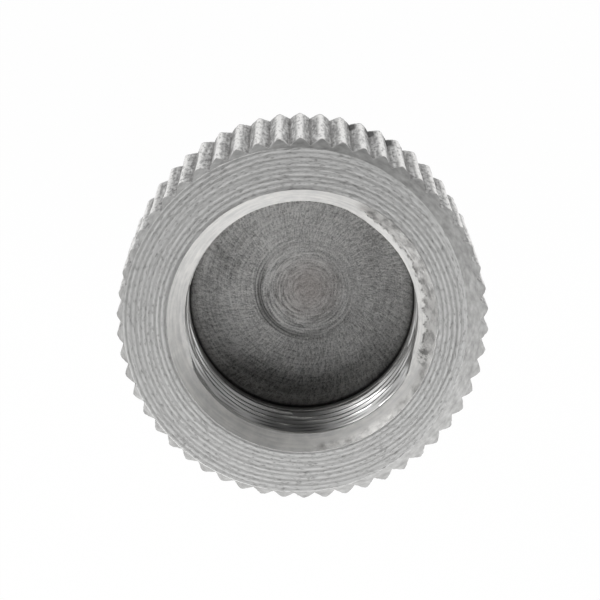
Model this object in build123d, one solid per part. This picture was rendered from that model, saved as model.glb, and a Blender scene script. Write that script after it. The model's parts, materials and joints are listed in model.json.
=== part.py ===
from build123d import *

import os
from math import radians, tan

# A turned one-piece thread adapter, standing on the end of its stud with the socket mouth up.
# The axis of turning is Z and the stud's end lies on the plane of the origin.

# Knurled rim, measured over its crests.
rim_diameter = 23.9
rim_height = 10.5
knurl_tooth_count = 54
knurl_depth = 0.46
knurl_groove_angle = 110.0

# Bevels that end the knurl, as radial width and axial height.
front_bevel_width = 0.6
front_bevel_height = 0.3
rear_bevel_width = 0.6
rear_bevel_height = 0.5

# Blind socket for a 5/8 inch, 27 threads per inch stand thread.
socket_thread_diameter = 15.875
socket_thread_pitch = 0.9407
socket_depth = 6.3
countersink_diameter = 17.36
countersink_angle = 60.0

# Stud for a 3/8 inch, 16 threads per inch tripod thread.
stud_thread_diameter = 9.525
stud_thread_pitch = 1.5875
stud_length = 9.0
stud_chamfer = 1.1
stud_relief_width = 1.8
stud_relief_undercut = 0.1

# Heights of the two threads, as shares of the pitch. The socket was drilled wide, so its thread is shallow.
internal_thread_height_share = 0.465
external_thread_height_share = 0.6134

# How far every cutting tool runs past the metal.
tool_overrun = 1.0

rim_radius = rim_diameter / 2
front_face_radius = rim_radius - front_bevel_width
rear_face_radius = rim_radius - rear_bevel_width
front_face_height = stud_length + rim_height

countersink_radius = countersink_diameter / 2
socket_radius = socket_thread_diameter / 2 - internal_thread_height_share * socket_thread_pitch
countersink_depth = (countersink_radius - socket_radius) / tan(radians(countersink_angle / 2))
socket_floor_height = front_face_height - socket_depth

stud_radius = stud_thread_diameter / 2
stud_relief_radius = stud_radius - external_thread_height_share * stud_thread_pitch - stud_relief_undercut
stud_relief_step = stud_radius - stud_relief_radius


def turned_blank():
    """The half section of bevelled rim, countersunk socket and relieved stud, turned about the axis."""
    outline = Polyline(
        (0, 0),
        (stud_radius - stud_chamfer, 0),
        (stud_radius, stud_chamfer),
        (stud_radius, stud_length - stud_relief_width),
        (stud_relief_radius, stud_length - stud_relief_width + stud_relief_step),
        (stud_relief_radius, stud_length),
        (rear_face_radius, stud_length),
        (rim_radius, stud_length + rear_bevel_height),
        (rim_radius, front_face_height - front_bevel_height),
        (front_face_radius, front_face_height),
        (countersink_radius, front_face_height),
        (socket_radius, front_face_height - countersink_depth),
        (socket_radius, socket_floor_height),
        (0, socket_floor_height),
        close=True,
    )
    return revolve(Plane.XZ * make_face(outline), axis=Axis.Z)


def knurl_grooves():
    """V grooves round the rim, one between each two teeth, cut past both ends of the rim."""
    root_radius = rim_radius - knurl_depth
    open_radius = rim_radius + tool_overrun
    half_opening = (open_radius - root_radius) * tan(radians(knurl_groove_angle / 2))
    outline = Polyline(
        (root_radius, 0),
        (open_radius, half_opening),
        (open_radius, -half_opening),
        close=True,
    )
    groove = extrude(make_face(outline), amount=rim_height + 2 * tool_overrun)
    groove = Pos(0, 0, stud_length - tool_overrun) * groove
    return [place * groove for place in PolarLocations(0, knurl_tooth_count)]


adapter_body = turned_blank() - knurl_grooves()

os.makedirs("parts", exist_ok=True)
export_step(adapter_body, "parts/adapter_body.step")
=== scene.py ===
"""Looks of a turned aluminium thread adapter, with a knurled rim, a stand socket and a tripod stud.

Each zone of the metal is a numpy surface of two parameters, the angle round the axis and the place along the
turned profile. The zones are sewn in order, from the middle of the socket's floor to the middle of the stud's
end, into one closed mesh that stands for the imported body.
"""
import json
import math
from collections import namedtuple

import bpy
import numpy as np
from bpy.props import FloatProperty, FloatVectorProperty, IntProperty, PointerProperty
from mathutils import Matrix, Vector


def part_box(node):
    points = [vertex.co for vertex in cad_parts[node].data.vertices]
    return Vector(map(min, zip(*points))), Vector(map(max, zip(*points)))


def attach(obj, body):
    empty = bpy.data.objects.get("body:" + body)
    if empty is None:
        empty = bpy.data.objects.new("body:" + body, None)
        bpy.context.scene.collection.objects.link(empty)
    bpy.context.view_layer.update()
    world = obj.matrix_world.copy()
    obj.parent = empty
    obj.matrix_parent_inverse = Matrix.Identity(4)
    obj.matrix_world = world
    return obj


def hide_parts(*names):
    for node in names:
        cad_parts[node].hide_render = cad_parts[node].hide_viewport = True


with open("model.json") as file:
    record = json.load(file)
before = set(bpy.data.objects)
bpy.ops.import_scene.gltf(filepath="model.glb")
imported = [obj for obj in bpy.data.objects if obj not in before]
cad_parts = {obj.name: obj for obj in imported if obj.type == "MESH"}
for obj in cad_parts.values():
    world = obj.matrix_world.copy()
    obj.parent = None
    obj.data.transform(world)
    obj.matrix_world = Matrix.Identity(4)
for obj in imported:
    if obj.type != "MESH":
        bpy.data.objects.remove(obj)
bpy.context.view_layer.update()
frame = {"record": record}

bl_info = {
    "name": "Knurled thread adapter",
    "version": (1, 0, 0),
    "blender": (4, 5, 0),
    "location": "3D View > Sidebar > Adapter",
    "description": "Dresses a turned aluminium thread adapter round its packed frame",
    "category": "Object",
}

MM = 0.001

BODY_LOW, BODY_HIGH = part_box("adapter_body")
MOUNTS = {mount["name"]: mount for mount in frame["record"]["mounts"]}
SOCKET_RADIUS = MOUNTS["stand_socket"]["dims"]["r_mm"] * MM
STUD_RADIUS = MOUNTS["tripod_stud"]["dims"]["r_mm"] * MM
FACE_HEIGHT = MOUNTS["front_face"]["pos_m"][2]

# Points round one turn, by zone: the knurl has sixteen a tooth.
KNURL_TEETH = 54
KNURL_COLUMNS = 16 * KNURL_TEETH
FACE_COLUMNS = KNURL_COLUMNS // 2
SOCKET_COLUMNS = FACE_COLUMNS // 2
STUD_COLUMNS = KNURL_COLUMNS // 6

# Places of the finishes in the piece's material slots.
FACED, KNURLED, COUNTERSUNK, THREADED, BORED = range(5)

# Flats of the two threads and the height of the stud's, as shares of the pitch.
SOCKET_CREST_SHARE = 0.25
SOCKET_ROOT_SHARE = 0.125
STUD_CREST_SHARE = 0.125
STUD_THREAD_SHARE = 0.6134

# Feeds of the cuts behind, in feeds of the front face's cut.
REAR_FEED = 2.2
END_FEED = 1.6

# How far a burr may stand above the front face.
HIGHEST_BURR = 0.05 * MM

# Edges sharper than this many degrees stay sharp.
SHARP_ANGLE = 34.0

# The picture's side in pixels and the camera's sensor in millimetres.
IMAGE_PIXELS = 600
SENSOR = 36.0

# Share of the floor's looks that is plain white. The rest takes the shadow.
WHITE_SHARE = 0.98

# Soft lights: name, turn clockwise from the picture's top, lean from the axis, size across in metres
# and watts. They began as a least-squares fit of single lights to the photo's brightness and were rounded.
SOFT_LIGHTS = (
    ("low_lower_right", 135.0, 60.0, 0.30, 1.70),
    ("low_lower_left", 225.0, 60.0, 0.30, 1.15),
    ("grazing_upper_left", 315.0, 80.0, 0.20, 0.75),
    ("low_upper_left", 315.0, 60.0, 0.30, 0.25),
    ("low_bottom", 180.0, 60.0, 0.30, 0.20),
    ("low_right", 90.0, 60.0, 0.30, 0.25),
    ("low_left", 270.0, 60.0, 0.30, 0.25),
    ("low_upper_right", 45.0, 60.0, 0.30, 0.10),
    ("high_lower_left", 225.0, 40.0, 0.25, 0.20),
    ("high_bottom", 180.0, 40.0, 0.25, 0.15),
    ("high_lower_right", 135.0, 40.0, 0.25, 0.05),
)
LIGHT_DISTANCE = 0.5


def linear(code):
    """Linear light of an sRGB hex colour.

    Each share c becomes ((c + 0.055) / 1.055) to the 2.4, or c / 12.92 when dark.
    """
    shares = (int(code[place:place + 2], 16) / 255.0 for place in (1, 3, 5))
    return tuple(c / 12.92 if c <= 0.04045 else ((c + 0.055) / 1.055) ** 2.4 for c in shares)


def length(name, description, default):
    """A length property, in metres."""
    return FloatProperty(name=name, description=description, default=default, unit="LENGTH", precision=5)


def number(name, description, default):
    """A property that is a plain number."""
    return FloatProperty(name=name, description=description, default=default)


def colour(name, description, code):
    """A colour property whose default is an sRGB hex value."""
    return FloatVectorProperty(
        name=name, description=description, default=linear(code), subtype="COLOR", size=3)


def degrees(name, description, default):
    """An angle property whose default is given in degrees."""
    return FloatProperty(name=name, description=description, default=math.radians(default), subtype="ANGLE")


class TurnedSizes(bpy.types.PropertyGroup):
    """Sizes of the turned body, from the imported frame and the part's drawing.

    The front bevel's run-out and loss belong to this one copy.
    """

    rim_radius: length("Rim radius", "Over the crests of the knurl", (BODY_HIGH.y - BODY_LOW.y) / 2.0)
    rim_height: length("Rim height", "From the rear face to the front face", 10.5 * MM)
    face_height: length("Front face", "Height of the front face above the stud's end", FACE_HEIGHT)
    knurl_depth: length("Knurl depth", "From crest to root", 0.46 * MM)
    front_bevel_width: length("Front bevel width", "Radial width from the face to the crests", 0.60 * MM)
    front_bevel_height: length("Front bevel height", "Axial height over that width", 0.3 * MM)
    rear_bevel_width: length("Rear bevel width", "Radial width from the rear face to the crests", 0.6 * MM)
    rear_bevel_height: length("Rear bevel height", "Axial height over that width", 0.5 * MM)
    bevel_runout: length("Bevel run-out", "How much wider the front bevel is on its wide side", 0.75 * MM)
    bevel_loss: length("Bevel loss", "How much narrower the front bevel is on its narrow side", 0.15 * MM)
    socket_radius: length("Socket radius", "Over the crests of the stand thread", SOCKET_RADIUS)
    socket_thread: length("Socket thread", "Radius over the roots of the stand thread", 15.875 * MM / 2.0)
    socket_pitch: length("Socket pitch", "27 turns to the inch", 0.9407 * MM)
    socket_depth: length("Socket depth", "From the front face to the floor", 6.3 * MM)
    mouth_radius: length("Mouth radius", "Outer edge of the countersink", 8.68 * MM)
    countersink_angle: degrees("Countersink angle", "Whole angle of the cone", 60.0)
    stud_radius: length("Stud radius", "Over the crests of the tripod thread", STUD_RADIUS)
    stud_pitch: length("Stud pitch", "16 turns to the inch", 1.5875 * MM)
    stud_chamfer: length("Stud chamfer", "Bevel on the stud's end", 1.1 * MM)
    relief_width: length("Relief width", "Groove between the stud's thread and the rear face", 1.8 * MM)
    relief_undercut: length("Relief undercut", "How far that groove goes below the thread's roots", 0.1 * MM)


class ToolMarks(bpy.types.PropertyGroup):
    """Marks that the lathe, the drill, the tap and the knurling wheel left.

    Stretches of the turn run clockwise from the picture's top.
    """

    ring_pitch: length("Ring pitch", "Feed of the facing cut, one ring a turn", 0.31 * MM)
    ring_depth: length("Ring depth", "Height of a facing ring", 0.0055 * MM)
    plain_band: length("Plain band", "Bore above the floor that the thread doesn't reach", 0.8 * MM)
    run_out: length("Run-out", "Height over which the socket's thread fades above the plain band", 0.4 * MM)
    lead_in: length("Lead-in", "Height over which crests grow below the mouth on the open stretch", 0.5 * MM)
    slow_lead_in: length("Slow lead-in", "Height over which roots deepen below the mouth elsewhere", 2.0 * MM)
    open_slope: number("Open slope", "How much steeper the cone is on the open stretch", 0.5)
    # Painted shade: the dark foot of the socket's wall is this high.
    foot_shade: length("Foot soil", "Height of the dark foot of the socket's wall", 0.55 * MM)
    start_share: number("Thread start", "Share of a turn to the socket thread's start", 0.38)
    pilot_radius: length("Pilot radius", "Step left by a smaller drill in the floor", 3.35 * MM)
    pilot_depth: length("Pilot depth", "Depth of that step at its deepest side", 0.012 * MM)
    pilot_deep_side: degrees("Pilot deep side", "Where that step is deepest, from +X", 208.0)
    pilot_offset: FloatVectorProperty(
        name="Pilot offset", description="Where the smaller drill met the floor, from the axis",
        default=(0.4 * MM, 0.72 * MM), size=2, unit="LENGTH")
    chatter_depth: length("Chatter depth", "Roughness of the socket's floor", 0.0012 * MM)
    # Painted shade: the dark ring in the floor's corner under the wall is this wide.
    corner_shade: length("Corner soil", "Width of the dark ring in the floor's corner", 0.42 * MM)
    tooth_spread: length("Tooth spread", "How far teeth differ in height", 0.03 * MM)
    torn_depth: length("Torn depth", "Roughness of the knurl's flanks", 0.018 * MM)
    burr_height: length("Burr height", "Metal thrown up where the mouth is galled", 0.012 * MM)
    edge_wander: length("Edge wander", "Unevenness of the mouth's edge", 0.004 * MM)
    galled_wander: length("Galled wander", "How much more uneven that edge is where galled", 0.006 * MM)
    galled_band: length("Galled band", "Width of the galled ring on the front face", 0.55 * MM)
    edge_line: length("Edge line", "Width of the scored line round the mouth", 0.07 * MM)
    edge_line_depth: length("Edge line depth", "Depth of that line", 0.004 * MM)
    smear_share: number("Smear", "Share of the cone below the smeared lip", 0.32)
    galled_from: degrees("Galled from", "Start of the galled stretch of the mouth", 22.0)
    galled_to: degrees("Galled to", "End of the galled stretch of the mouth", 112.0)
    filled_to: degrees("Filled to", "Where galled metal stops filling the first turn of the thread", 120.0)
    rubbed_to: degrees("Rubbed to", "End of the rubbed stretch after the galled one", 185.0)
    open_from: degrees("Open from", "Start of the stretch where the thread's first crest is cut away", 105.0)
    open_to: degrees("Open to", "End of the stretch where the thread's first crest is cut away", 290.0)
    torn_at: degrees("Torn at", "Where the galled metal broke away", 107.0)
    # Teeth between these two angles get darker valleys near the rim's rear.
    dark_ends_from: degrees("Dirty from", "Start of the teeth that hold dirt", 15.0)
    dark_ends_to: degrees("Dirty to", "End of the teeth that hold dirt", 33.0)
    scored_from: degrees("Scored from", "Start of the stretch where the mouth's edge is scored", 190.0)
    scored_to: degrees("Scored to", "End of the stretch where the mouth's edge is scored", 330.0)
    seed: IntProperty(name="Seed", description="Chooses the random marks", default=27)


class MetalColours(bpy.types.PropertyGroup):
    """Colours of the bare aluminium, cut and marked, with dark tones that also paint shade into hollows."""

    # Also the painted highlight along the knurl's crests.
    clean: colour("Clean cut", "Aluminium scraped clean by the countersink", "#F3F2F0")
    bright: colour("Bright cut", "Freshly cut aluminium", "#DDDDDC")
    # Real dull tone, and also painted shade in the hollows of the faced rings and the knurl's valleys.
    dull: colour("Dull cut", "Aluminium between the bright lines of a cut", "#B3B3B2")
    # Real pits and specks; this colour also paints shade under the socket thread's crests, in the thread
    # roots, at the wall's foot, in the floor's corner and along the floor's step.
    soiled_and_shade: colour("Soiled", "Dull metal in grooves and torn spots", "#848382")
    pits_and_shade: colour("Pitted", "Dark pits, dirt and the undersides of the thread", "#3B3A39")
    warm: colour("Warm", "Drill-heated metal in the middle of the socket", "#BBAFAA")


class StudioSettings(bpy.types.PropertyGroup):
    """Camera, floor and light of the studio."""

    camera_distance: length("Camera distance", "From the middle of the front face", 150.0 * MM)
    camera_tilt: degrees("Camera tilt", "Between the line of sight and the axis", 14.0)
    camera_roll: degrees("Camera roll", "Turn of the picture", -0.66)
    camera_rise: length("Camera rise", "How far the camera is moved up in the picture", 1.46 * MM)
    camera_side: length("Camera side", "How far the camera is moved right in the picture", -0.13 * MM)
    pixels_per_mm: number("Pixels per millimetre", "At the front face", 15.61)
    floor_half: length("Floor half width", "From the middle of the floor to its edge", 1.5)
    floor_white: colour("Floor", "Plain white studio floor", "#F4F4F2")
    room_grey: colour("Room", "Dim studio round the lights", "#2C2C2C")


# A zone's points in rows along the profile, and for each point its finish and two marks that the finish
# reads. Groove is how deep or marked a point is; the finishes darken by it, for real pits and torn spots and
# as painted shade in hollows, roots, undersides and corners. Patch tells two parts of one finish apart, as
# each zone says.
Zone = namedtuple("Zone", "points finish groove patch")


def turn_angles(columns):
    """Angles of one whole turn, counter-clockwise from +X, without the closing repeat."""
    return np.arange(columns) * (2.0 * np.pi / columns)


def soft_step(value):
    """0 below 0 and 1 above 1, with a rise between them that has no slope at either end."""
    value = np.clip(value, 0.0, 1.0)
    return value * value * (3.0 - 2.0 * value)


def bell(value, centre, width):
    """Bell curve of unit height: e to the minus square of the distance from the centre in widths."""
    return np.exp(-((value - centre) / width) ** 2)


def clockwise_from_top(angle):
    """Angle from +Y, clockwise as seen from above, from 0 to a whole turn."""
    return np.mod(np.pi / 2.0 - angle, 2.0 * np.pi)


def stretch(angle, first, last, fall):
    """1 between two angles clockwise from the top, with a soft fall to 0 inside either end."""
    clockwise = clockwise_from_top(angle)
    return soft_step((clockwise - first) / fall) * soft_step((last - clockwise) / fall)


def random_waves(rng, angle, along, around_waves, along_waves, count=24):
    """Random waves of unit spread: a sum of cosines, each with a whole number of waves round the turn.

    Each cosine's phase is its own whole number times the angle, plus its own rate times the place along the
    profile.
    """
    total = np.zeros(np.broadcast_shapes(np.shape(angle), np.shape(along)))
    for _ in range(count):
        around = rng.integers(around_waves[0], around_waves[1] + 1) * rng.choice((-1, 1))
        rate = rng.uniform(along_waves[0], along_waves[1])
        total += np.cos(around * angle + rate * along + rng.uniform(0.0, 2.0 * np.pi))
    return total * math.sqrt(2.0 / count)


def turned_zone(radius, height, finish, groove=0.0, patch=0.0, offset=(0.0, 0.0)):
    """Zone of points at radius along each angle's direction, moved by offset, at height, with its marks."""
    radius, height = np.broadcast_arrays(radius, height)
    angle = turn_angles(radius.shape[1])
    across = offset[0] + radius * np.cos(angle)
    along = offset[1] + radius * np.sin(angle)
    marks = (np.broadcast_to(mark, radius.shape) for mark in (finish, groove, patch))
    return Zone(np.stack((across, along, height), axis=-1), *marks)


def thread_cut(turns, crest_share, root_share):
    """Depth share of a thread: 0 on the crest flat, 1 on the root flat and straight flanks between.

    The distance from the nearest crest, in pitches, runs from half the crest's flat to half a pitch less half
    the root's flat.
    """
    distance = np.abs(turns - np.round(turns))
    return np.clip((distance - crest_share / 2.0) / (0.5 - (crest_share + root_share) / 2.0), 0.0, 1.0)


def galled_mask(marks, angle):
    """1 along the galled stretch of the mouth and 0 elsewhere."""
    return stretch(angle, marks.galled_from, marks.galled_to, 0.16)


def mouth_edge(sizes, marks, angle):
    """Radius of the countersink's outer edge: a circle, a little uneven, and more so where galled."""
    rng = np.random.default_rng(marks.seed)
    ragged = random_waves(rng, angle, 0.0, (20, 70), (0.0, 0.0))
    wander = marks.edge_wander + marks.galled_wander * galled_mask(marks, angle)
    return sizes.mouth_radius + wander * ragged


def cone_start(sizes, marks, angle):
    """Radius of the cone's lower edge.

    It is the thread's roots, or its crests where galled metal fills the first turn.
    """
    filled = stretch(angle, marks.galled_from, marks.filled_to, 0.3)
    return sizes.socket_thread - filled * (sizes.socket_thread - sizes.socket_radius)


def cone_depth(sizes):
    """Depth of the cone's lower edge below the front face."""
    return (sizes.mouth_radius - sizes.socket_thread) / math.tan(sizes.countersink_angle / 2.0)


def socket_floor(sizes, marks):
    """Flat floor with the step of a smaller drill, which met it off centre and a little askew.

    Rings grow from the drill's centre and move back to the axis by the bore's edge. The step's depth goes as
    one plus the cosine of the angle from its deep side, which is the patch mark. Grooves are painted shade:
    the step's lines on that side and a dark ring in the corner under the wall.
    """
    rng = np.random.default_rng(marks.seed + 1)
    angle = turn_angles(SOCKET_COLUMNS)
    pilot, bore = marks.pilot_radius, sizes.socket_radius
    radius = np.concatenate((
        np.linspace(0.05 * MM, pilot - 0.35 * MM, 9),
        np.linspace(pilot - 0.28 * MM, pilot + 0.28 * MM, 13),
        np.linspace(pilot + 0.4 * MM, bore - 0.2 * MM, 9),
        np.linspace(bore - 0.15 * MM, bore, 4),
    ))[:, None]
    past_step = pilot + 0.3 * MM
    keep = 1.0 - soft_step((radius - past_step) / (bore - past_step))
    lean = 0.5 + 0.5 * np.minimum(radius / pilot, 1.0) * np.cos(angle - marks.pilot_deep_side)
    step = soft_step((pilot + 0.1 * MM - radius) / (0.2 * MM))
    lip = bell(radius, pilot + 0.17 * MM, 0.05 * MM)
    sink = marks.pilot_depth * lean * (step + 0.25 * lip)
    chatter = marks.chatter_depth * random_waves(rng, angle, radius, (6, 60), (2.0 / MM, 9.0 / MM))
    height = sizes.face_height - sizes.socket_depth - sink + chatter * soft_step(radius / MM)
    # Painted shade in the floor's corner, and along the step's lines and lip on its deep side.
    corner = soft_step((radius - bore) / marks.corner_shade + 1.0)
    lines = bell(radius, pilot - 0.05 * MM, 0.09 * MM) + bell(radius, pilot - 0.2 * MM, 0.05 * MM)
    groove = lean ** 2.5 * (lines + lip) + 1.3 * corner
    offset = (keep * marks.pilot_offset[0], keep * marks.pilot_offset[1])
    return turned_zone(radius, height, BORED, groove=groove, patch=lean, offset=offset)


def socket_wall(sizes, marks):
    """Tapped bore: the larger of the thread's radius and the countersink's cone, at each height.

    The thread's phase is the height in pitches less the share of a turn. Its depth fades out above the floor,
    to the plain band that the patch mark shows, and below the mouth it grows slowly. On the open stretch the
    first crest is cut away instead, so that the wall starts at the roots and the crests grow from there.
    Grooves are the undersides of the crests and the foot of the wall, both darkened as painted shade, and
    two lines on the first flank of the open stretch.
    """
    angle = turn_angles(SOCKET_COLUMNS)
    floor = sizes.face_height - sizes.socket_depth
    plain_top = floor + marks.plain_band
    top = sizes.face_height - cone_depth(sizes)
    close_rows = top - 1.2 * MM
    height = np.concatenate((
        np.linspace(floor + 0.02 * MM, plain_top, 7),
        np.linspace(plain_top, close_rows, 32)[1:],
        np.linspace(close_rows, top, 23)[1:],
    ))[:, None]
    below = top - height
    turns = height / sizes.socket_pitch - angle / (2.0 * np.pi) + marks.start_share
    fade = soft_step((height - plain_top) / marks.run_out)
    grown = np.clip(below / marks.lead_in, 0.0, 1.0)
    slowly_grown = np.clip(below / marks.slow_lead_in, 0.0, 1.0)
    opened = stretch(angle, marks.open_from, marks.open_to, 0.35) * stretch(angle, 0.0, marks.open_to, 0.9)
    whole_cut = thread_cut(turns, SOCKET_CREST_SHARE, SOCKET_ROOT_SHARE) * fade
    open_cut = 1.0 - (1.0 - whole_cut) * grown
    cut = (1.0 - opened) * slowly_grown * whole_cut + opened * open_cut
    thread = sizes.socket_radius + (sizes.socket_thread - sizes.socket_radius) * cut
    spread = (sizes.mouth_radius - cone_start(sizes, marks, angle)) / cone_depth(sizes)
    cone = sizes.mouth_radius - (sizes.face_height - height) * spread - marks.open_slope * opened * below
    on_cone = cone >= thread
    finish = np.where(on_cone, COUNTERSUNK, THREADED)
    plain = np.where(on_cone, 0.0, 1.0 - fade)
    lower_flank = np.where(turns < np.round(turns), 1.0, 0.5)
    # Painted shade under the crests, more on the lower flank, and at the foot of the wall.
    underside = lower_flank * soft_step((thread - cone) / (0.12 * MM)) * (cut > 0.05) * grown
    foot = 1.0 - soft_step((height - floor) / marks.foot_shade)
    above_crest = turns - np.floor(turns[-1] - 0.3)
    first_flank = (above_crest > 0.0) & (above_crest < 0.5)
    lines = 0.95 * (bell(cut, 0.35, 0.12) + bell(cut, 0.7, 0.12)) * first_flank * opened
    groove = np.maximum(np.maximum(underside, foot), lines)
    return turned_zone(np.maximum(thread, cone), height, finish, groove=groove, patch=plain)


def countersink(sizes, marks):
    """Cone from the wall to the mouth's edge, heaped and torn along the galled stretch and rubbed after it.

    The patch mark is the smeared and rubbed metal. Grooves are torn spots, specks along the smear's ragged
    edge, and the mouth's edge, which darkens the first faces of the faced ring.
    """
    rng = np.random.default_rng(marks.seed + 2)
    angle = turn_angles(FACE_COLUMNS)
    start = cone_start(sizes, marks, angle)
    edge = mouth_edge(sizes, marks, angle)
    galled = galled_mask(marks, angle)
    share = np.linspace(0.04, 1.0, 13)[:, None]
    radius = start + share * (edge - start)
    ragged = random_waves(rng, angle, 0.0, (20, 90), (0.0, 0.0))
    past_edge = share - marks.smear_share - 0.07 * ragged
    rubbed = stretch(angle, marks.torn_at - 0.25, marks.rubbed_to, 0.25) * soft_step((share - 0.25) / 0.5)
    smear = np.maximum(galled * soft_step(past_edge / 0.08), 0.75 * rubbed)
    heaps = random_waves(rng, angle, share, (12, 60), (2.0, 9.0))
    height = sizes.face_height - cone_depth(sizes) * (1.0 - share)
    lift = marks.burr_height * smear * (0.5 + heaps) * np.sin(np.pi * share) ** 0.5
    torn = bell(clockwise_from_top(angle), marks.torn_at, 0.12) * bell(share, 0.5, 0.45)
    specks = galled * bell(past_edge, 0.06, 0.07)
    groove = np.maximum(np.maximum(torn, specks), 0.4 * (share == 1.0))
    return turned_zone(radius, height + lift, COUNTERSUNK, groove=groove, patch=smear)


def bevel_wide_side(angle):
    """Share of the bevel's run-out: the cube of half of one plus a cosine, 1 towards +X."""
    return ((1.0 + np.cos(angle)) / 2.0) ** 3


def bevel_start(sizes, angle):
    """Radius where the front face ends: a second chucking left the bevel wider on one side."""
    wide = bevel_wide_side(angle)
    even = sizes.rim_radius - sizes.front_bevel_width
    return even + sizes.bevel_loss * (1.0 - wide) - sizes.bevel_runout * wide


def front_face(sizes, marks):
    """Faced ring: a one-start spiral of shallow waves between the mouth's edge and the bevel.

    The wave's phase is the radius in ring pitches plus the share of a turn. Its depth differs from ring to
    ring and fades towards the bevel's wide side. Grooves are the waves and a scored line round the mouth;
    the faced finish darkens them as painted shade.
    """
    rng = np.random.default_rng(marks.seed + 3)
    angle = turn_angles(FACE_COLUMNS)
    inner = mouth_edge(sizes, marks, angle)
    outer = bevel_start(sizes, angle)
    share = np.linspace(0.012, 1.0, 56)[:, None]
    radius = inner + share * (outer - inner)
    ring = (radius - sizes.mouth_radius) / marks.ring_pitch + angle / (2.0 * np.pi)
    uneven = 1.0 + 0.16 * random_waves(rng, angle, radius, (0, 3), (6.0 / MM, 24.0 / MM))
    wander = 0.02 * random_waves(rng, angle, radius, (1, 9), (0.0, 4.0 / MM))
    fading = soft_step((outer - radius) / (0.6 * MM)) ** bevel_wide_side(angle)
    wave = fading * (0.5 + 0.5 * np.cos(2.0 * np.pi * (ring + wander)))
    depth = marks.ring_depth * np.clip(uneven, 0.15, 2.0) * wave
    near_mouth = 1.0 - soft_step((radius - inner) / marks.galled_band)
    galled = galled_mask(marks, angle) * near_mouth
    heaps = random_waves(rng, angle, radius, (15, 80), (4.0 / MM, 16.0 / MM))
    burrs = 0.5 * marks.burr_height * galled * heaps
    scored = 0.5 + 0.5 * stretch(angle, marks.scored_from, marks.scored_to, 0.3)
    scored = np.clip(scored + 0.35 * random_waves(rng, angle, 0.0, (2, 14), (0.0, 0.0)), 0.0, 1.0)
    edge_line = scored * bell(radius, inner + marks.edge_line, marks.edge_line)
    relief = burrs - depth - marks.edge_line_depth * edge_line
    height = sizes.face_height + np.minimum(relief, HIGHEST_BURR)
    groove = np.clip(0.65 * wave * uneven + edge_line, 0.0, 1.0)
    return turned_zone(radius, height, FACED, groove=groove)


def knurl_radius(sizes, marks, angle, share):
    """Radius of the straight knurl, and its teeth's rise from 0 to 1, at each angle and share of its height.

    A tooth is a triangle wave of the angle, with a crest that a hyperbola rounds, more so near the front.
    Teeth differ in height, and torn metal adds random waves, but nothing stands past the rim's radius.
    """
    rng = np.random.default_rng(marks.seed + 4)
    tooth = angle * KNURL_TEETH / (2.0 * np.pi)
    fall = np.abs(2.0 * np.mod(tooth, 1.0) - 1.0)
    blunt = 0.3 - 0.16 * soft_step(share / 0.3)
    rise = 1.0 - (np.hypot(fall, blunt) - blunt) / (np.hypot(1.0, blunt) - blunt)
    rise = rise ** (1.1 - 0.2 * share)
    whole = np.floor(tooth).astype(int) % KNURL_TEETH
    short = np.abs(rng.normal(0.0, 1.0, KNURL_TEETH))[whole] * marks.tooth_spread
    torn = random_waves(rng, angle, share, (150, 400), (2.0, 26.0), 40)
    worn = random_waves(rng, angle, share, (20, 120), (2.0, 14.0), 30)
    root = sizes.rim_radius - sizes.knurl_depth
    radius = root + rise * (sizes.knurl_depth - short) + marks.torn_depth * (0.55 * torn + 0.6 * worn)
    return np.minimum(radius, sizes.rim_radius), rise


def knurled_rim(sizes, marks):
    """Front bevel, knurl and rear bevel, one under the other.

    Each bevel's rows run on its cone from the face's edge to the knurl's own radius, so the last row is the
    edge where every tooth runs out. The knurl's rows run straight between those two edges. The patch mark is
    1 on the knurl and 0 on the bevels. Grooves are the valleys, darker near the rear on a few teeth.
    """
    angle = turn_angles(KNURL_COLUMNS)
    face = sizes.face_height
    rear = face - sizes.rim_height
    start = bevel_start(sizes, angle)
    rear_start = sizes.rim_radius - sizes.rear_bevel_width
    share = np.linspace(0.0, 1.0, 28)[:, None]
    radius, rise = knurl_radius(sizes, marks, angle, share)
    front_run = radius[0] - start
    rear_run = radius[-1] - rear_start
    front_drop = front_run * sizes.front_bevel_height / (sizes.rim_radius - start)
    rear_lift = rear_run * sizes.rear_bevel_height / sizes.rear_bevel_width
    out = np.linspace(0.03, 1.0, 4)[:, None]
    front = turned_zone(start + out * front_run, face - out * front_drop, KNURLED, groove=0.25)
    # A few teeth get darker valleys near the rear.
    dark_stretch = stretch(angle, marks.dark_ends_from, marks.dark_ends_to, 0.03)
    dark_valley_ends = dark_stretch * soft_step((share - 0.72) / 0.12) * soft_step((0.75 - rise) / 0.3)
    front_edge, rear_edge = face - front_drop, rear + rear_lift
    height = front_edge + share * (rear_edge - front_edge)
    groove = 1.0 - rise + dark_valley_ends
    side = turned_zone(radius[1:-1], height[1:-1], KNURLED, groove=groove[1:-1], patch=1.0)
    back_out = out[::-1] - out[0]
    back = turned_zone(rear_start + back_out * rear_run, rear + back_out * rear_lift, KNURLED, groove=0.25)
    return front, side, back


def rear_face(sizes, marks):
    """Faced ring behind the rim, of a coarser feed than the front, from the bevel in to the relief."""
    rng = np.random.default_rng(marks.seed + 5)
    angle = turn_angles(STUD_COLUMNS)
    outer = sizes.rim_radius - sizes.rear_bevel_width
    inner = sizes.stud_radius - STUD_THREAD_SHARE * sizes.stud_pitch - sizes.relief_undercut
    radius = np.linspace(outer - 0.08 * MM, inner + 0.05 * MM, 44)[:, None]
    ring = radius / (REAR_FEED * marks.ring_pitch) - angle / (2.0 * np.pi)
    wave = 0.5 + 0.5 * np.cos(2.0 * np.pi * ring)
    uneven = 1.0 + 0.35 * random_waves(rng, angle, radius, (0, 3), (4.0 / MM, 14.0 / MM))
    height = sizes.face_height - sizes.rim_height + marks.ring_depth * wave * np.clip(uneven, 0.2, 2.0)
    # The groove mark darkens the rings' hollows in the faced finish: painted shade.
    return turned_zone(radius, height, FACED, groove=np.clip(0.5 * wave * uneven, 0.0, 1.0))


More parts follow.
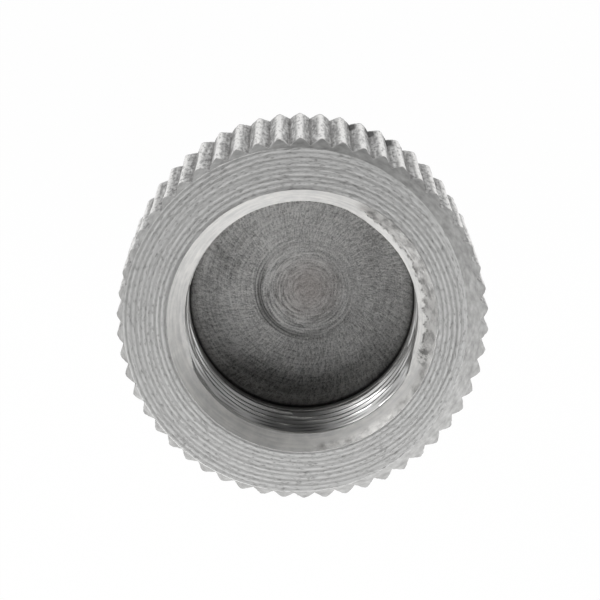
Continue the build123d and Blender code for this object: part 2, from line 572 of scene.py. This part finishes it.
def stud(sizes):
    """Relief groove and thread of the stud, down to its chamfered end.

    The radius is the least of three at each height: the thread's, whose phase is the height in pitches less
    the share of a turn, the cone of the end's chamfer, and the groove's floor with its 45 degree run-out.
    """
    angle = turn_angles(STUD_COLUMNS)
    shoulder = sizes.face_height - sizes.rim_height
    thread_top = shoulder - sizes.relief_width
    thread_height = STUD_THREAD_SHARE * sizes.stud_pitch
    height = np.concatenate((
        np.linspace(shoulder - 0.06 * MM, thread_top, 10),
        np.linspace(thread_top, 0.0, 58)[1:],
    ))[:, None]
    turns = height / sizes.stud_pitch - angle / (2.0 * np.pi)
    root_share = 1.0 - STUD_CREST_SHARE - 2.0 * STUD_THREAD_SHARE * math.tan(math.radians(30.0))
    cut = thread_cut(turns, STUD_CREST_SHARE, root_share)
    thread = sizes.stud_radius - thread_height * cut
    chamfer = sizes.stud_radius - sizes.stud_chamfer + height
    relief = sizes.stud_radius - np.clip(height - thread_top, 0.0, thread_height + sizes.relief_undercut)
    radius = np.minimum(np.minimum(thread, chamfer), relief)
    # The groove mark darkens the thread's roots: painted shade.
    return turned_zone(radius, height, THREADED, groove=0.8 * cut)


def stud_end(sizes, marks):
    """Faced end of the stud: shallow rings on a flat disc, down to the axis."""
    angle = turn_angles(STUD_COLUMNS)
    radius = np.linspace(sizes.stud_radius - sizes.stud_chamfer - 0.04 * MM, 0.06 * MM, 20)[:, None]
    ring = radius / (END_FEED * marks.ring_pitch) - angle / (2.0 * np.pi)
    wave = 0.5 + 0.5 * np.cos(2.0 * np.pi * ring)
    # The groove mark darkens the rings' hollows in the faced finish: painted shade.
    return turned_zone(radius, marks.ring_depth * wave, FACED, groove=0.5 * wave)


def ring_faces(first, second):
    """Faces between two rings of points, the second further along the profile.

    Rings of as many points join as quads. Otherwise each point of the coarse ring fans to its half of the
    fine points on either side, and one triangle closes each step of the coarse ring.
    """
    if len(first) == len(second):
        return [np.stack((first, second, np.roll(second, -1), np.roll(first, -1)), axis=1)]
    coarse, fine = (first, second) if len(first) < len(second) else (second, first)
    ratio = len(fine) // len(coarse)
    following = np.roll(coarse, -1)
    middle = fine[ratio // 2::ratio]
    apex = np.where(np.arange(ratio) < ratio // 2, coarse[:, None], following[:, None]).ravel()
    if coarse is first:
        fans = (apex, fine, np.roll(fine, -1)), (coarse, middle, following)
    else:
        fans = (fine, apex, np.roll(fine, -1)), (middle, coarse, following)
    return [np.stack(fan, axis=1) for fan in fans]


def sew(name, zones):
    """One closed mesh of zones in order along the profile, with a point on the axis at either end."""
    counts = [zone.points.shape[0] * zone.points.shape[1] for zone in zones]
    starts = np.concatenate(([0], np.cumsum(counts)[:-1]))
    indices = [start + np.arange(count).reshape(zone.points.shape[:2])
               for start, count, zone in zip(starts, counts, zones)]
    total = sum(counts)
    first, last = zones[0].points[0].mean(axis=0), zones[-1].points[-1].mean(axis=0)
    points = np.concatenate([zone.points.reshape(-1, 3) for zone in zones] + [[first], [last]])
    fields = {mark: np.concatenate([getattr(zone, mark).ravel() for zone in zones] + [[0.0, 0.0]])
              for mark in ("finish", "groove", "patch")}
    rings = [ring for index in indices for ring in index]
    faces = [np.stack((np.full(len(rings[0]), total), rings[0], np.roll(rings[0], -1)), axis=1)]
    for inner, outer in zip(rings[:-1], rings[1:]):
        faces += ring_faces(inner, outer)
    faces.append(np.stack((rings[-1], np.full(len(rings[-1]), total + 1), np.roll(rings[-1], -1)), axis=1))
    mesh = bpy.data.meshes.new(name)
    mesh.vertices.add(len(points))
    mesh.vertices.foreach_set("co", points.astype(np.float32).ravel())
    corners = np.concatenate([face.ravel() for face in faces]).astype(np.int32)
    sides = np.concatenate([np.full(len(face), face.shape[1]) for face in faces])
    mesh.loops.add(len(corners))
    mesh.loops.foreach_set("vertex_index", corners)
    mesh.polygons.add(len(sides))
    loop_starts = np.concatenate(([0], np.cumsum(sides)[:-1])).astype(np.int32)
    mesh.polygons.foreach_set("loop_start", loop_starts)
    outermost = np.concatenate([face.max(axis=1) for face in faces])
    finish = fields.pop("finish")
    finish[-2:] = finish[rings[0][0]], finish[rings[-1][0]]
    mesh.polygons.foreach_set("material_index", finish[outermost].astype(np.int32))
    mesh.update(calc_edges=True)
    mesh.validate()
    for mark, values in fields.items():
        attribute = mesh.attributes.new(mark, "FLOAT", "POINT")
        attribute.data.foreach_set("value", values.astype(np.float32))
    mesh.shade_smooth()
    mesh.set_sharp_from_angle(angle=math.radians(SHARP_ANGLE))
    return mesh


def add_node(tree, kind, inputs=(), **settings):
    """Adds a node with its settings and fills inputs by name or place: sockets are linked, values set."""
    made = tree.nodes.new(kind)
    for key, value in settings.items():
        setattr(made, key, value)
    for key, value in dict(inputs).items():
        if isinstance(value, bpy.types.NodeSocket):
            tree.links.new(value, made.inputs[key])
        else:
            made.inputs[key].default_value = value
    return made


def opaque(colour_value):
    """A colour with its alpha of 1."""
    return (*colour_value, 1.0)


def calculate(tree, operation, first, second):
    """Result of an operation on two numbers."""
    return add_node(tree, "ShaderNodeMath", {0: first, 1: second}, operation=operation).outputs[0]


def calculate_vector(tree, operation, first, second):
    """Result of an operation on two vectors."""
    return add_node(tree, "ShaderNodeVectorMath", {0: first, 1: second}, operation=operation).outputs[0]


def remap(tree, value, low, high, new_low=0.0, new_high=1.0):
    """Value stretched from low and high to the new ones, and held between them."""
    inputs = {"Value": value, "From Min": low, "From Max": high, "To Min": new_low, "To Max": new_high}
    return add_node(tree, "ShaderNodeMapRange", inputs).outputs[0]


def noise(tree, place, detail, roughness=0.5, scale=1.0):
    """Random pattern from 0 to 1, about a half on average."""
    inputs = {"Vector": place, "Scale": scale, "Detail": detail, "Roughness": roughness}
    return add_node(tree, "ShaderNodeTexNoise", inputs).outputs["Fac"]


def mark_of(tree, name):
    """One of the piece's two marks, groove or patch."""
    return add_node(tree, "ShaderNodeAttribute", attribute_name=name).outputs["Fac"]


def between(tree, share, first, second):
    """Number between two, the second where share is 1."""
    return add_node(tree, "ShaderNodeMix", {0: share, 2: first, 3: second}, data_type="FLOAT").outputs[0]


def blend(tree, share, first, second):
    """Colour between two, the second where share is 1. Either may be a node's output."""
    first, second = (
        side if isinstance(side, bpy.types.NodeSocket) else opaque(side) for side in (first, second))
    return add_node(tree, "ShaderNodeMix", {0: share, 6: first, 7: second}, data_type="RGBA").outputs[2]


def object_place(tree):
    """Place on the object, in its own coordinates."""
    return add_node(tree, "ShaderNodeTexCoord").outputs["Object"]


def from_axis(tree, centre):
    """Vector from the axis, or from a centre beside it, without its height, and its length."""
    flat = calculate_vector(tree, "MULTIPLY", object_place(tree), (1.0, 1.0, 0.0))
    flat = calculate_vector(tree, "SUBTRACT", flat, (*centre, 0.0))
    reach = add_node(tree, "ShaderNodeVectorMath", {0: flat}, operation="LENGTH").outputs["Value"]
    return flat, reach


def turned_place(tree, streak, spacing, radius, along="radius", centre=(0.0, 0.0), twist=0.0):
    """Place on a turned surface for a streaked pattern.

    It is the direction from the axis, as long as the radius in streak lengths, with the distance along the
    profile in spacings added along Z. So a pattern of unit scale is a streak long round the axis and a
    spacing wide across. A twist, in turns per metre of radius, bends straight radial strokes into a swirl.
    """
    flat, reach = from_axis(tree, centre)
    direction = add_node(tree, "ShaderNodeVectorMath", {0: flat}, operation="NORMALIZE").outputs[0]
    if twist:
        bend = calculate(tree, "MULTIPLY", reach, twist * 2.0 * math.pi)
        direction = add_node(tree, "ShaderNodeVectorRotate", {"Vector": direction, "Angle": bend},
                             rotation_type="Z_AXIS").outputs[0]
    around = add_node(tree, "ShaderNodeVectorMath", {0: direction, "Scale": radius / streak},
                      operation="SCALE").outputs[0]
    height = add_node(tree, "ShaderNodeSeparateXYZ", {0: object_place(tree)}).outputs["Z"]
    across = calculate(tree, "MULTIPLY", reach if along == "radius" else height, 1.0 / spacing)
    lift = add_node(tree, "ShaderNodeCombineXYZ", {"Z": across}).outputs[0]
    return calculate_vector(tree, "ADD", around, lift)


def new_material(name):
    """A new material and its node tree."""
    material = bpy.data.materials.new(name)
    material.use_nodes = True
    return material, material.node_tree


def dress_metal(material, tone, rough, pattern, depth, strength=1.0):
    """Makes the material a metal of a tone and a roughness, with a pattern as its bump. Returns it."""
    tree = material.node_tree
    metal = tree.nodes["Principled BSDF"]
    metal.inputs["Metallic"].default_value = 1.0
    tree.links.new(tone, metal.inputs["Base Color"])
    if isinstance(rough, bpy.types.NodeSocket):
        tree.links.new(rough, metal.inputs["Roughness"])
    else:
        metal.inputs["Roughness"].default_value = rough
    inputs = {"Height": pattern, "Distance": depth, "Strength": strength}
    tree.links.new(add_node(tree, "ShaderNodeBump", inputs).outputs[0], metal.inputs["Normal"])
    return material


# In the finishes below, grain and scratches are drawn coarser than on real metal, so that they show in a
# picture of the whole adapter.
def faced_aluminium(colours):
    """Aluminium faced on a lathe: the feed leaves fine bright and dull rings, broken into long streaks."""
    material, tree = new_material("faced_aluminium")
    streaks = noise(tree, turned_place(tree, 9.0 * MM, 0.09 * MM, 10.0 * MM), 3.0)
    grain = noise(tree, turned_place(tree, 0.35 * MM, 0.1 * MM, 10.0 * MM), 3.0, 0.65)
    both = calculate(tree, "ADD", streaks, grain)
    tone = blend(tree, remap(tree, both, 0.45, 1.2), colours.dull, colours.bright)
    # Painted shade: the rings' hollows and the line round the mouth darken by the groove mark.
    groove_shade = calculate(tree, "MULTIPLY", mark_of(tree, "groove"), 0.68)
    tone = blend(tree, groove_shade, tone, colours.soiled_and_shade)
    flecks = remap(tree, grain, 0.45, 0.3, 0.0, 0.6)
    tone = blend(tree, flecks, tone, colours.soiled_and_shade)
    rough = remap(tree, grain, 0.3, 0.7, 0.48, 0.62)
    return dress_metal(material, tone, rough, both, 0.005 * MM)


def knurled_aluminium(colours):
    """Aluminium pressed by a knurling wheel: torn flanks, crests with a painted highlight, valleys with
    painted shade and dull, mottled bevels.
    """
    material, tree = new_material("knurled_aluminium")
    torn = noise(tree, turned_place(tree, 0.16 * MM, 0.75 * MM, 12.0 * MM, along="height"), 3.0, 0.6)
    scored = noise(tree, turned_place(tree, 0.16 * MM, 3.0 * MM, 12.0 * MM, along="height"), 2.0)
    mottle = noise(tree, turned_place(tree, 0.7 * MM, 0.25 * MM, 12.0 * MM), 4.0, 0.6)
    both = calculate(tree, "ADD", torn, scored)
    groove, knurl = mark_of(tree, "groove"), mark_of(tree, "patch")
    tone = blend(tree, remap(tree, both, 0.88, 1.4), colours.soiled_and_shade, colours.bright)
    # Painted highlight: the crests are lightened towards the bright scraped colour.
    crests = remap(tree, groove, 0.34, 0.08, 0.0, 0.85)
    tone = blend(tree, crests, tone, colours.clean)
    specks = remap(tree, torn, 0.49, 0.35, 0.0, 0.6)
    tone = blend(tree, specks, tone, colours.pits_and_shade)
    # Painted shade: the valleys' deepest parts darken.
    valleys = remap(tree, groove, 0.72, 1.0, 0.0, 0.7)
    tone = blend(tree, valleys, tone, colours.soiled_and_shade)
    # Darker valley ends on a few teeth, towards the pits colour.
    dark_valley_ends = remap(tree, groove, 1.1, 1.5)
    tone = blend(tree, dark_valley_ends, tone, colours.pits_and_shade)
    bevel = blend(tree, remap(tree, mottle, 0.0, 0.92), colours.soiled_and_shade, colours.bright)
    tone = blend(tree, knurl, bevel, tone)
    rough = between(tree, knurl, 0.74, remap(tree, groove, 0.0, 1.0, 0.32, 0.58))
    pattern = between(tree, knurl, calculate(tree, "MULTIPLY", mottle, 0.2), both)
    return dress_metal(material, tone, rough, pattern, 0.05 * MM)


def countersunk_aluminium(colours):
    """Aluminium cut by a countersink: an even satin cone, smeared and blotchy where the tool galled."""
    material, tree = new_material("countersunk_aluminium")
    streaks = noise(tree, turned_place(tree, 2.5 * MM, 0.12 * MM, 8.0 * MM), 2.0)
    blotch = noise(tree, turned_place(tree, 0.7 * MM, 0.35 * MM, 8.0 * MM), 4.0, 0.6)
    scuff = noise(tree, turned_place(tree, 0.2 * MM, 0.26 * MM, 8.0 * MM), 3.0)
    smear = mark_of(tree, "patch")
    faint = remap(tree, calculate(tree, "ADD", streaks, blotch), 0.7, 1.3)
    tone = blend(tree, faint, colours.clean, colours.bright)
    patchy = blend(tree, remap(tree, blotch, 0.22, 0.56), colours.soiled_and_shade, colours.clean)
    tone = blend(tree, smear, tone, patchy)
    holes = remap(tree, scuff, 0.56, 0.42, 0.0, 0.75)
    torn = calculate(tree, "MULTIPLY", holes, remap(tree, mark_of(tree, "groove"), 0.4, 1.0))
    tone = blend(tree, torn, tone, colours.pits_and_shade)
    rough = remap(tree, smear, 0.0, 1.0, 0.78, 0.46)
    heaped = calculate(tree, "MULTIPLY", blotch, smear)
    return dress_metal(material, tone, rough, heaped, 0.06 * MM, 0.6)


def threaded_aluminium(colours):
    """Aluminium cut by a tap or a die: smooth shiny flanks with fine lines along them, painted shade in
    grooves.
    """
    material, tree = new_material("threaded_aluminium")
    lines = noise(tree, turned_place(tree, 3.0 * MM, 0.06 * MM, 7.0 * MM, along="height"), 2.0)
    tone = blend(tree, lines, colours.dull, colours.bright)
    # Painted shade: roots, undersides of crests and the wall's foot darken towards the pits colour.
    groove_shade = remap(tree, mark_of(tree, "groove"), 0.6, 1.0, 0.0, 0.9)
    tone = blend(tree, groove_shade, tone, colours.pits_and_shade)
    rough = remap(tree, mark_of(tree, "patch"), 0.0, 1.0, 0.31, 0.36)
    return dress_metal(material, tone, rough, lines, 0.004 * MM, 0.7)


def bored_aluminium(colours, marks):
    """Aluminium at the bottom of a bore: rings round the drill's centre, then a swirl of chatter strokes."""
    material, tree = new_material("bored_aluminium")
    place, centre = object_place(tree), tuple(marks.pilot_offset)
    reach = from_axis(tree, centre)[1]
    rings = noise(tree, turned_place(tree, 1.5 * MM, 0.13 * MM, 3.0 * MM, centre=centre), 3.0)
    stroke_place = turned_place(tree, 0.12 * MM, 0.36 * MM, 5.0 * MM, centre=centre, twist=8.0)
    strokes = noise(tree, stroke_place, 3.0)
    grain = noise(tree, place, 3.0, 0.65, 1.0 / (0.09 * MM))
    cloud = remap(tree, noise(tree, place, 2.0, scale=1.0 / (3.2 * MM)), 0.0, 1.0, 0.43, 0.57)
    outside = remap(tree, reach, 2.6 * MM, 4.0 * MM)
    lean = remap(tree, mark_of(tree, "patch"), 0.0, 1.0, 0.4, 1.1)
    rings = between(tree, lean, 0.5, rings)
    cut = between(tree, outside, rings, between(tree, 0.6, rings, strokes))
    fine = between(tree, 0.42, cut, grain)
    share = remap(tree, calculate(tree, "ADD", fine, cloud), 0.86, 1.08)
    tone = blend(tree, share, colours.soiled_and_shade, colours.clean)
    heat = remap(tree, reach, 2.6 * MM, 0.6 * MM, 0.0, 0.45)
    tone = blend(tree, heat, tone, colours.warm)
    # Painted shade: the corner and the step's lines darken towards the pits colour.
    groove_shade = calculate(tree, "MULTIPLY", mark_of(tree, "groove"), 0.8)
    tone = blend(tree, groove_shade, tone, colours.pits_and_shade)
    return dress_metal(material, tone, 0.39, fine, 0.026 * MM)


class OBJECT_OT_turned_adapter(bpy.types.Operator):
    """Build the turned and knurled adapter body in place of its plain solid"""

    bl_idname = "object.turned_adapter"
    bl_label = "Turned adapter"

    def execute(self, context):
        sizes, marks = context.scene.adapter_sizes, context.scene.adapter_marks
        colours = context.scene.adapter_colours
        zones = (
            socket_floor(sizes, marks),
            socket_wall(sizes, marks),
            countersink(sizes, marks),
            front_face(sizes, marks),
            *knurled_rim(sizes, marks),
            rear_face(sizes, marks),
            stud(sizes),
            stud_end(sizes, marks),
        )
        mesh = sew("turned_adapter", zones)
        finishes = (
            faced_aluminium(colours),
            knurled_aluminium(colours),
            countersunk_aluminium(colours),
            threaded_aluminium(colours),
            bored_aluminium(colours, marks),
        )
        for material in finishes:
            mesh.materials.append(material)
        piece = bpy.data.objects.new("turned_adapter", mesh)
        context.scene.collection.objects.link(piece)
        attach(piece, "root")
        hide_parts("adapter_body")
        return {"FINISHED"}


def studio_floor(studio):
    """Floor that the camera and the metal see as white, with a little of its own shading for the shadow."""
    half = studio.floor_half
    mesh = bpy.data.meshes.new("studio_floor")
    mesh.from_pydata([(-half, -half, 0.0), (half, -half, 0.0), (half, half, 0.0), (-half, half, 0.0)],
                     [], [(0, 1, 2, 3)])
    material, tree = new_material("white_studio_floor")
    tree.nodes.clear()
    rays = add_node(tree, "ShaderNodeLightPath").outputs
    seen = calculate(tree, "MAXIMUM", rays["Is Camera Ray"], rays["Is Glossy Ray"])
    seen = calculate(tree, "MAXIMUM", seen, rays["Is Transmission Ray"])
    share = calculate(tree, "MULTIPLY", seen, WHITE_SHARE)
    matte = add_node(tree, "ShaderNodeBsdfDiffuse", {"Color": opaque(studio.floor_white)}).outputs[0]
    white = add_node(tree, "ShaderNodeEmission", {"Color": (1.0, 1.0, 1.0, 1.0), "Strength": 1.0}).outputs[0]
    mixed = add_node(tree, "ShaderNodeMixShader", {0: share, 1: matte, 2: white}).outputs[0]
    add_node(tree, "ShaderNodeOutputMaterial", {"Surface": mixed})
    mesh.materials.append(material)
    floor = bpy.data.objects.new("studio_floor", mesh)
    bpy.context.scene.collection.objects.link(floor)


def soft_light(name, turn, lean, across, power, target):
    """Round soft light at LIGHT_DISTANCE from target, leaning from the axis to a turn from the top."""
    turn, lean = math.radians(turn), math.radians(lean)
    direction = Vector((math.sin(turn) * math.sin(lean), math.cos(turn) * math.sin(lean), math.cos(lean)))
    lamp = bpy.data.lights.new(name, "AREA")
    lamp.shape = "DISK"
    lamp.size = across
    lamp.energy = power
    light = bpy.data.objects.new(name, lamp)
    light.location = target + direction * LIGHT_DISTANCE
    light.rotation_mode = "QUATERNION"
    light.rotation_quaternion = direction.to_track_quat("Z", "Y")
    light.visible_camera = False
    bpy.context.scene.collection.objects.link(light)


def photo_camera(studio, target):
    """Camera that leans from the axis towards +Y, moved a little across its picture, with +Y up in it."""
    tilt = studio.camera_tilt
    right = Vector((1.0, 0.0, 0.0))
    up = Vector((0.0, math.cos(tilt), -math.sin(tilt)))
    back = right.cross(up)
    place = target + back * studio.camera_distance + up * studio.camera_rise + right * studio.camera_side
    turn = Matrix.Rotation(studio.camera_roll, 3, back) @ Matrix((right, up, back)).transposed()
    lens = bpy.data.cameras.new("photo_camera")
    lens.sensor_width = SENSOR
    lens.lens = studio.pixels_per_mm * studio.camera_distance / MM / IMAGE_PIXELS * SENSOR
    lens.clip_start = studio.camera_distance * 0.05
    lens.clip_end = studio.floor_half * 10.0
    camera = bpy.data.objects.new("photo_camera", lens)
    camera.matrix_world = Matrix.Translation(place) @ turn.to_4x4()
    bpy.context.scene.collection.objects.link(camera)
    bpy.context.scene.camera = camera


class SCENE_OT_adapter_studio(bpy.types.Operator):
    """Set the white floor, the soft lights, the dim room and the camera"""

    bl_idname = "scene.adapter_studio"
    bl_label = "Studio"

    def execute(self, context):
        scene, studio = context.scene, context.scene.adapter_studio
        target = Vector((0.0, 0.0, scene.adapter_sizes.face_height))
        studio_floor(studio)
        for settings in SOFT_LIGHTS:
            soft_light(*settings, target)
        world = bpy.data.worlds.new("dim_room")
        world.use_nodes = True
        world.node_tree.nodes["Background"].inputs["Color"].default_value = opaque(studio.room_grey)
        scene.world = world
        scene.view_settings.view_transform = "Standard"
        photo_camera(studio, target)
        return {"FINISHED"}


class VIEW3D_PT_thread_adapter(bpy.types.Panel):
    """Sidebar panel with the adapter's sizes, marks and colours and the buttons that build it"""

    bl_label = "Thread adapter"
    bl_space_type = "VIEW_3D"
    bl_region_type = "UI"
    bl_category = "Adapter"

    def draw(self, context):
        layout = self.layout
        for settings in GROUPS:
            group = getattr(context.scene, settings)
            box = layout.box()
            for key in group.__annotations__:
                box.prop(group, key)
        layout.operator(OBJECT_OT_turned_adapter.bl_idname)
        layout.operator(SCENE_OT_adapter_studio.bl_idname)


GROUPS = {
    "adapter_sizes": TurnedSizes,
    "adapter_marks": ToolMarks,
    "adapter_colours": MetalColours,
    "adapter_studio": StudioSettings,
}
CLASSES = (*GROUPS.values(), OBJECT_OT_turned_adapter, SCENE_OT_adapter_studio, VIEW3D_PT_thread_adapter)


def register():
    """Register the classes and hang each settings group on the scene."""
    for cls in CLASSES:
        bpy.utils.register_class(cls)
    for name, group in GROUPS.items():
        setattr(bpy.types.Scene, name, PointerProperty(type=group))


def unregister():
    """Take the settings groups off the scene and unregister the classes."""
    for name in GROUPS:
        delattr(bpy.types.Scene, name)
    for cls in reversed(CLASSES):
        bpy.utils.unregister_class(cls)


def main():
    """Register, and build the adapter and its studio."""
    register()
    bpy.ops.object.turned_adapter()
    bpy.ops.scene.adapter_studio()


if __name__ == "__main__":
    main()
